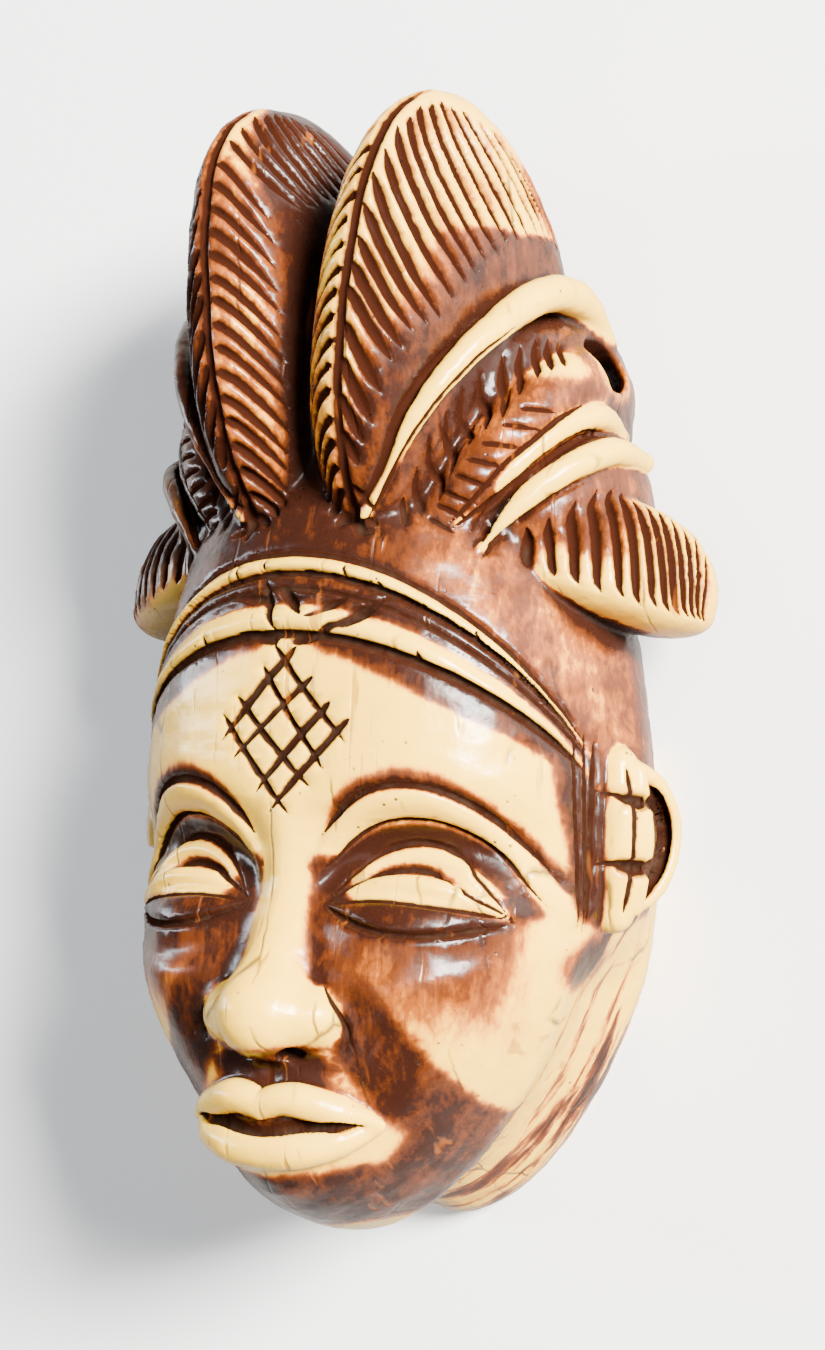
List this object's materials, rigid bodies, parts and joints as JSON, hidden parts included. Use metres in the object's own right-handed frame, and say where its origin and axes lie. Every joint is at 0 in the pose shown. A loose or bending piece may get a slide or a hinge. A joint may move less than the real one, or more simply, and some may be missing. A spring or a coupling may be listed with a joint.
{
  "type": "miniature mask",
  "caption": "Small hollow-backed carved mask with a calm face, banded hairline and a high fluted hairdress, lying on its flat back.",
  "frame": {"origin": "centre of the bounding box on the flat back, which is the plane the mask lies on", "axes": "+X to the mask's own left, +Y to the top of the hair, +Z out of the face"},
  "size_m": [0.0626, 0.1071, 0.0433],
  "materials": {
    "ivory": "polished ivory, red-brown stain in the cuts"
  },
  "bodies": {
    "root": {"mask": "ivory"}
  },
  "joints": []
}
